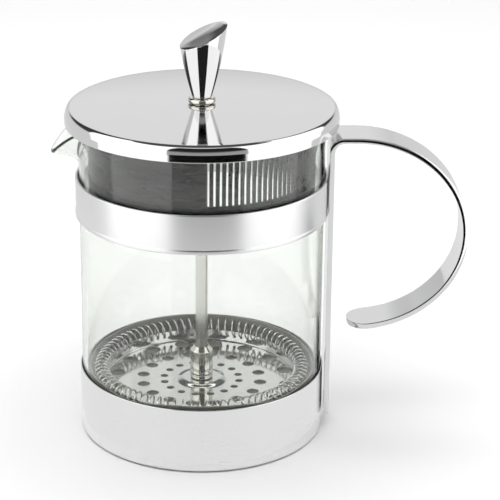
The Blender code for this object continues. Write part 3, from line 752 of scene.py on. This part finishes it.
def make_rod_bushing():
    """Barrel-shaped ring on the lid, and its shank through the lid."""
    bore = ROD_BORE
    shank = 0.0038
    seat = cover.top + GAP
    middle = (seat + bushing.top) / 2
    bulge = (bushing.top - seat) / 2
    side = [(bushing.radius - bulge + r, z) for r, z in arc(0.0, middle, bulge, 84, -84, 12)]
    profile = [*arc(bore + 0.0003, bushing.top - 0.0003, 0.0003, 180, 90, 3), *side]
    profile += [(shank, seat), (shank, bushing.bottom + 0.0002), (shank - 0.0002, bushing.bottom)]
    profile += [(bore + 0.0002, bushing.bottom), (bore, bushing.bottom + 0.0002)]
    finish_piece(turned("bushing", profile, MEDIUM, closed=True), "rod_bushing")


def make_washer(name, node, span, bore):
    edge = span.height * 0.2
    corners = [(bore, span.bottom, edge), (bore, span.top, edge)]
    corners += [(span.radius, span.top, edge), (span.radius, span.bottom, edge)]
    finish_piece(turned(name, rounded(corners, closed=True, steps=3), FINE, closed=True), node)


def make_nut(name, node, span, bore):
    """Hexagonal nut: chamfered corners and a countersunk bore."""
    flats = span.high.x
    corner = flats / math.cos(math.pi / 6)
    rise = (corner - flats) * 0.6
    profile = [
        (bore + 0.0003, span.bottom),
        (flats, span.bottom),
        (corner, span.bottom + rise),
        (corner, span.top - rise),
        (flats, span.top),
        (bore + 0.0003, span.top),
        (bore, span.top - 0.0003),
        (bore, span.bottom + 0.0003),
    ]
    piece = turned(name, profile, 72, closed=True)
    thick, wide = 0.01, 0.04
    size = Matrix.Diagonal((thick, wide, span.height * 2, 1.0))
    place = Matrix.Translation((flats + thick / 2, 0.0, (span.top + span.bottom) / 2))
    for index in range(6):
        side = bmesh.new()
        body = bmesh.ops.create_cube(side, size=1.0)
        matrix = Matrix.Rotation(math.pi / 3 * index, 4, "Z") @ place @ size
        bmesh.ops.transform(side, verts=body["verts"], matrix=matrix)
        cut_with(piece, side)
    finish_piece(piece, node)


# ---------------------------------------------------------------- rod and knob
def make_plunger_rod():
    """Drawn rod with chamfered ends and a stud cut with a thread for the knob."""
    stud = 0.0015
    shoulder = bushing.top
    corners = [(0.0, rod.top), (stud, rod.top, 0.0003)]
    pitch = 0.0008
    groove = 0.00025
    turns = int((rod.top - shoulder - 0.002) / pitch)
    for index in range(turns):
        z = rod.top - pitch * (index + 1)
        corners += [(stud, z), (stud - groove, z - pitch / 2)]
    corners += [(stud, shoulder), (rod.radius, shoulder, 0.0002)]
    corners += [(rod.radius, rod.bottom, 0.0004), (0.0, rod.bottom)]
    finish_piece(turned("rod", rounded(corners, steps=4), FINE), "plunger_rod")


def make_knob():
    """Flared knob, cut off by a slanting plane with a softened edge."""
    foot = knob.bottom
    edge = 0.0003
    foot_radius = 0.0039
    flare = 0.0088
    easing = 0.0029
    height = 0.0286
    slant = math.radians(25.8)
    turn = math.radians(16.7)
    bore = 0.0018
    bore_top = foot + 0.0091

    def radius_at(share):
        return foot_radius + flare * share - easing * share**2

    side = []
    steps = 44
    for index in range(steps + 8, -1, -1):
        share = index / steps
        side.append((radius_at(share), foot + edge + share * height))
    profile = [*side, *arc(foot_radius - edge, foot + edge, edge, 0, -90, 4)[1:]]
    profile += [(bore, foot), (bore, bore_top), (0.0, bore_top)]
    bm = turned_mesh([(0.0, side[0][1]), *profile], MEDIUM)
    cut_at = Vector((0.0, 0.0, foot + height - radius_at(1.0) * math.tan(slant)))
    normal = on_circle(-math.sin(slant), turn, math.cos(slant))
    cut = bmesh.ops.bisect_plane(
        bm, geom=[*bm.verts, *bm.edges, *bm.faces], plane_co=cut_at, plane_no=normal, clear_outer=True
    )
    rim = [item for item in cut["geom_cut"] if isinstance(item, bmesh.types.BMEdge)]
    bmesh.ops.contextual_create(bm, geom=rim)
    bmesh.ops.recalc_face_normals(bm, faces=bm.faces)
    piece = object_from("knob_body", bm)
    soft = piece.modifiers.new("edge", "BEVEL")
    soft.width = 0.0006
    soft.segments = 5
    soft.harden_normals = True
    soft.limit_method = "ANGLE"
    soft.angle_limit = math.radians(45)
    keep_result(piece)
    finish_piece(piece, "knob")


# ---------------------------------------------------------------- filter stack
def make_filter_hub():
    """Sleeve with a long chamfer and a turned groove near its foot; its shank goes down through the stack."""
    shank = 0.0024
    sleeve_foot = lock_ring.top + GAP
    groove = sleeve_foot + 0.0012
    corners = [
        (0.0, rod.bottom - GAP),
        (ROD_BORE, rod.bottom - GAP, 0.0002),
        (ROD_BORE, hub.top),
        (hub.radius - 0.00155, hub.top),
        (hub.radius, hub.top - 0.0018, 0.0004),
        (hub.radius, groove + 0.0003, 0.0001),
        (hub.radius - 0.0003, groove, 0.0001),
        (hub.radius, groove - 0.0003, 0.0001),
        (hub.radius, sleeve_foot, 0.0003),
        (shank, sleeve_foot),
        (shank, hub.bottom, 0.0003),
        (0.0, hub.bottom),
    ]
    finish_piece(turned("hub", rounded(corners, steps=4), FINE), "filter_hub")


def plate_rim_points(top):
    """The plate's flat, its bend and its upright rim, seen from inside, as (r, z)."""
    wall = plate.radius - SHEET
    flat_start = 0.0125
    bend = 0.0008
    rim_top = 0.0047
    points = [(flat_start + (wall - bend - flat_start) * index / 6, top) for index in range(7)]
    points += arc(wall - bend, top + bend, bend, -90, 0, 6)
    points.append((wall, top + rim_top))
    return points


def make_spring_plate():
    """Polished dish: raised boss, three rings of holes, and an upright rim pierced for the spring."""
    boss = 0.0108
    slope = 0.0038
    pierced_radius = 0.0007
    top = screen.bottom + 0.0014
    boss_top = lock_ring.bottom - GAP
    inside = [(STACK_BORE, boss_top)]
    for index in range(11):
        share = index / 10
        lift = (boss_top - top) * (0.5 + 0.5 * math.cos(math.pi * share))
        inside.append((boss + (share - 1.0) * slope, top + lift))
    inside += plate_rim_points(top)
    outside = []
    for index, (r, z) in enumerate(inside):
        before = Vector(inside[max(index - 1, 0)])
        after = Vector(inside[min(index + 1, len(inside) - 1)])
        along = (after - before).normalized()
        outside.append((r + along.y * SHEET, z - along.x * SHEET))
    outside[0] = (STACK_BORE, boss_top - SHEET)
    wall_top = inside[-1][1]
    outside[-1] = (inside[-1][0] + SHEET, wall_top)
    piece = turned("dish", inside + list(reversed(outside)), WIDE, closed=True)
    holes = bmesh.new()
    for circle, radius in HOLE_RINGS:
        for index in range(HOLES_PER_RING):
            angle = 2 * math.pi * (index + 0.5) / HOLES_PER_RING + HOLES_TURN
            add_pin(holes, on_circle(circle, angle, top), radius, 0.004)
    cut_with(piece, holes)
    pierced = bmesh.new()
    coil, middle, height = spring_ring()
    wall = plate.radius - SHEET / 2
    share = math.acos((wall - middle) / coil)
    for index in range(SPRING_TURNS):
        angle = 2 * math.pi * (index + share / (2 * math.pi)) / SPRING_TURNS
        z = height - coil * math.sin(share)
        aim = Matrix.Rotation(angle, 4, "Z") @ Matrix.Rotation(math.pi / 2, 4, "Y")
        add_pin(pierced, on_circle(wall, angle, z), pierced_radius, 0.003, 12, aim)
    cut_with(piece, pierced)
    finish_piece(piece, "spring_plate", "plate_steel")


def spring_ring():
    """The spring's coil radius, the radius of its ring and its height."""
    coil = spring.height / math.sqrt(3) - WIRE_RADIUS
    return coil, spring.radius - coil - WIRE_RADIUS, (spring.top + spring.bottom) / 2


def make_rim_spring():
    """Garter spring: a closed helix of round wire, threaded through the dish's rim."""
    coil, middle, height = spring_ring()
    points_per_turn = 20
    curve = bpy.data.curves.new("garter", "CURVE")
    curve.dimensions = "3D"
    curve.bevel_depth = WIRE_RADIUS
    curve.bevel_resolution = 2
    spline = curve.splines.new("POLY")
    count = SPRING_TURNS * points_per_turn
    spline.points.add(count - 1)
    spline.use_cyclic_u = True
    spline.use_smooth = True
    for index in range(count):
        turn = 2 * math.pi * index / points_per_turn
        at = on_circle(middle + coil * math.cos(turn), 2 * math.pi * index / count)
        spline.points[index].co = (at.x, at.y, height - coil * math.sin(turn), 1.0)
    piece = bpy.data.objects.new("garter_spring", curve)
    bpy.context.scene.collection.objects.link(piece)
    finish_piece(piece, "rim_spring")


def rim_sag(azimuth):
    """How far the screen's edge hangs below its highest point: little at the back, most at two places
    in front."""
    deepest = 0.0017
    spread = 18
    sag = 0.0002 + 0.0008 * min(1.0, 1.0 - math.sin(azimuth))
    for middle in (-130, -50):
        off = math.degrees(azimuth) - middle
        sag += deepest * math.exp(-((off / spread) ** 2))
    return sag


def make_mesh_screen():
    """Woven dish: flat below the plate, drawn up outside the spring to an edge that sags in places."""
    sheet = 0.0005
    corner = 0.0030
    bottom = screen.bottom
    top = screen.top
    outer = screen.radius
    inner = outer - sheet
    profile = [(STACK_BORE, bottom)]
    profile += arc(outer - corner, bottom + corner, corner, -90, 0, 8)
    profile += [(outer, (bottom + top) / 2), (outer, top - 0.0005)]
    profile += arc(outer - sheet / 2, top - sheet / 2, sheet / 2, 0, 180, 6)
    profile += [(inner, top - 0.0005), (inner, (bottom + top) / 2)]
    profile += arc(outer - corner, bottom + corner, corner - sheet, 0, -90, 8)
    profile += [(STACK_BORE, bottom + sheet)]
    bm = turned_mesh(profile, WIDE, closed=True)
    for vert in bm.verts:
        if vert.co.z > (bottom + top) / 2 + 0.0005:
            angle = math.atan2(vert.co.y, vert.co.x)
            ripple = 0.00012 * (1 + math.sin(13 * angle) * math.cos(5 * angle))
            vert.co.z -= ripple + rim_sag(angle)
    finish_piece(object_from("screen", bm), "mesh_screen")


def make_cross_plate():
    """Clamping plate with large round windows and a stiffening bead round its edge."""
    outer = cross.radius
    mid = (cross.bottom + cross.top) / 2
    profile = rounded(
        [
            (STACK_BORE, cross.top, 0.0001),
            (outer, cross.top, 0.0002),
            (outer, cross.bottom, 0.0002),
            (outer - 0.0020, cross.bottom, 0.0008),
            (outer - 0.0026, mid, 0.0008),
            (outer - 0.0034, cross.bottom, 0.0008),
            (STACK_BORE, cross.bottom, 0.0001),
        ],
        closed=True,
        steps=3,
    )
    piece = turned("clamp_plate", profile, MEDIUM, closed=True)
    windows = bmesh.new()
    for index in range(8):
        add_pin(windows, on_circle(0.0235, math.pi / 4 * index, mid), 0.0070, 0.004, 40)
    cut_with(piece, windows, bevel=0.0001)
    finish_piece(piece, "cross_plate", "plate_steel")


# ---------------------------------------------------------------- studio
def hide_from(stage_object, *kinds):
    for kind in kinds:
        setattr(stage_object, "visible_" + kind, False)


def ring_sector(name, inner, outer, bottom, top, start_deg, end_deg, material):
    """A curved or flat sector of the studio round the object. Azimuth 0 is the camera's side."""
    bm = bmesh.new()
    steps = 48
    rows = []
    for index in range(steps + 1):
        angle = math.radians(start_deg + (end_deg - start_deg) * index / steps) - math.pi / 2
        ends = (on_circle(inner, angle, bottom), on_circle(outer, angle, top))
        rows.append([bm.verts.new(end) for end in ends])
    for first, second in zip(rows, rows[1:]):
        bm.faces.new((first[0], second[0], second[1], first[1]))
    piece = object_from(name, bm)
    piece.data.materials.append(material)
    return piece


def glow(name, strength_of):
    """An emitting studio material. strength_of gets the tree and returns a value or a socket."""
    material = bpy.data.materials.new(name)
    material.use_nodes = True
    tree = material.node_tree
    tree.nodes.clear()
    shader = add(tree, "ShaderNodeEmission", {"Color": gray(1.0), "Strength": strength_of(tree)})
    output = add(tree, "ShaderNodeOutputMaterial")
    tree.links.new(shader.outputs[0], output.inputs["Surface"])
    return material


def make_floor():
    bm = bmesh.new()
    bmesh.ops.create_grid(bm, x_segments=8, y_segments=8, size=FLOOR_HALF_SIZE)
    floor = object_from("floor", bm)
    floor.location.z = -0.0001
    material, tree, shader = new_material("floor")
    shade = mix_colors(tree, noise(tree, object_coordinates(tree, (3, 3, 3))), gray(0.90), gray(0.91))
    tree.links.new(shade, shader.inputs["Base Color"])
    shader.inputs["Roughness"].default_value = 0.6
    shader.inputs["Specular IOR Level"].default_value = 0.1
    floor.data.materials.append(material)


def wall_level(white_end, lean):
    """A side wall's strength: white as far as white_end degrees from the front, and lean degrees more per
    metre of height, then grey, or dark higher up."""

    def strength_of(tree):
        x, y, z = object_xyz(tree)
        away = math_node(tree, "MULTIPLY", y, -1.0)
        from_front = math_node(tree, "ARCTAN2", math_node(tree, "ABSOLUTE", x), away)
        leaning = math_node(tree, "MULTIPLY", z, math.radians(lean))
        beyond = math_node(tree, "SUBTRACT", from_front, leaning)
        end = math.radians(white_end)
        white = remap(tree, beyond, end - 0.01, end + 0.01, 1.45, 0.0)
        rear = remap(tree, beyond, end - 0.01, end + 0.01, 0.0, 1.0)
        level = remap(tree, z, 0.195, 0.235, 0.75, 0.05)
        return math_node(tree, "MULTIPLY_ADD", rear, level, white)

    return strength_of


def opening_level(tree):
    """The table's strength in the opening: it fades away from the object, and ends in the dark."""
    x, y, _ = object_xyz(tree)
    radius = distance(tree, x, y)
    near = remap(tree, radius, 0.285, 0.375, 0.85, 0.42)
    return math_node(tree, "MULTIPLY", near, remap(tree, radius, 0.378, 0.392, 1.0, 0.0))


def make_tent():
    """What the mirrors see round the object: two tall curved walls, a pale table, and in front, where the
    camera looks in, an opening between the walls with a darker table."""
    sides = (
        ("right", OPENING_RIGHT, WALL_END, wall_level(86, 135)),
        ("left", -WALL_END, OPENING_LEFT, wall_level(82, 80)),
    )
    for name, start, end, level in sides:
        material = glow("tent_" + name, level)
        wall = ring_sector("wall_" + name, WALL_RADIUS, WALL_RADIUS, 0.0, WALL_HEIGHT, start, end, material)
        hide_from(wall, "camera", "diffuse", "shadow")
    opening = glow("gap", opening_level)
    gap = ring_sector("gap", 0.20, TABLE_REACH, 0.001, 0.001, OPENING_LEFT, OPENING_RIGHT, opening)
    pale = glow("table", lambda tree: 0.86)
    table = ring_sector("table", 0.056, TABLE_REACH, 0.0005, 0.0005, 0, 360, pale)
    for card in (gap, table):
        hide_from(card, "camera", "diffuse", "transmission", "shadow")


def make_world():
    """A white room for the camera. Reflections see a bright panel behind the object, dimmer beside it and
    dark above, and in front a dark room with a bright strip high up."""
    world = bpy.data.worlds.new("room")
    bpy.context.scene.world = world
    world.use_nodes = True
    tree = world.node_tree
    tree.nodes.clear()
    direction = add(tree, "ShaderNodeTexCoord").outputs["Generated"]
    x, y, z = separate(tree, direction)

    def ramp(stops):
        made = add(tree, "ShaderNodeValToRGB", {0: z})
        elements = made.color_ramp.elements
        while len(elements) < len(stops):
            elements.new(0.5)
        for element, (place, level) in zip(elements, stops):
            element.position = place
            element.color = gray(level)
        return made.outputs[0]

    sideways = math_node(tree, "DIVIDE", math_node(tree, "ABSOLUTE", x), distance(tree, x, y))
    panel = ramp(((0.0, 0.60), (0.15, 0.65), (0.26, 0.87), (0.46, 0.87), (0.52, 0.10), (1.0, 0.08)))
    beside = ramp(((0.0, 0.60), (0.15, 0.65), (0.24, 0.60), (0.34, 0.08), (1.0, 0.08)))
    back = mix_colors(tree, remap(tree, sideways, 0.14, 0.50, 0.0, 1.0), panel, beside)
    low_strip = ((0.04, 0.02), (0.06, 0.40), (0.20, 0.40), (0.23, 0.02))
    high_strip = ((0.85, 0.02), (0.875, 1.0), (0.97, 1.0), (0.985, 0.1))
    front = ramp(low_strip + high_strip)
    facing = remap(tree, y, -0.5, -0.1, 1.0, 0.0)
    seen = mix_colors(tree, facing, back, front)
    is_camera = add(tree, "ShaderNodeLightPath").outputs["Is Camera Ray"]
    color = mix_colors(tree, is_camera, seen, gray(1.0))
    background = add(tree, "ShaderNodeBackground", {"Color": color, "Strength": 1.0})
    output = add(tree, "ShaderNodeOutputWorld")
    tree.links.new(background.outputs[0], output.inputs["Surface"])


def make_lights():
    """A broad soft overhead lamp that mirrors don't show."""
    lamp = bpy.data.lights.new("overhead", "AREA")
    lamp.shape = "DISK"
    lamp.size = 2.6
    lamp.energy = 42.0
    lamp_object = bpy.data.objects.new("overhead", lamp)
    lamp_object.location = (0.0, 0.0, 1.5)
    bpy.context.scene.collection.objects.link(lamp_object)
    lamp_object.visible_glossy = False
    lamp_object.visible_camera = False


def make_camera():
    """The photograph's view: from in front, 21 degrees down, through a long lens."""
    data = bpy.data.cameras.new("camera")
    data.sensor_width = 36.0
    data.lens = 143.07
    data.shift_x = 0.1095
    data.shift_y = 0.0043
    data.clip_start = 0.05
    data.clip_end = 50.0
    camera = bpy.data.objects.new("camera", data)
    camera.location = (0.0, -0.742, 0.3587)
    camera.rotation_euler = (math.pi / 2 - 0.367, 0.0, 0.0035)
    bpy.context.scene.collection.objects.link(camera)
    bpy.context.scene.camera = camera


def main():
    make_base_cup()
    make_base_cushion()
    make_collar_band()
    make_handle_strap()
    make_glass_beaker()
    make_lid_cover()
    make_lid_liner()
    make_rod_bushing()
    make_washer("lid_washer", "bushing_washer", washer, LID_BORE)
    make_nut("lid_nut", "bushing_nut", bushing_nut, LID_BORE)
    make_knob()
    make_plunger_rod()
    make_filter_hub()
    make_washer("lock_ring", "hub_lock_ring", lock_ring, STACK_BORE)
    make_spring_plate()
    make_rim_spring()
    make_mesh_screen()
    make_cross_plate()
    make_nut("stack_nut", "filter_nut", filter_nut, STACK_BORE)
    make_floor()
    make_tent()
    make_world()
    make_lights()
    make_camera()
    bpy.context.scene.view_settings.view_transform = "Standard"


main()
bpy.context.view_layer.update()
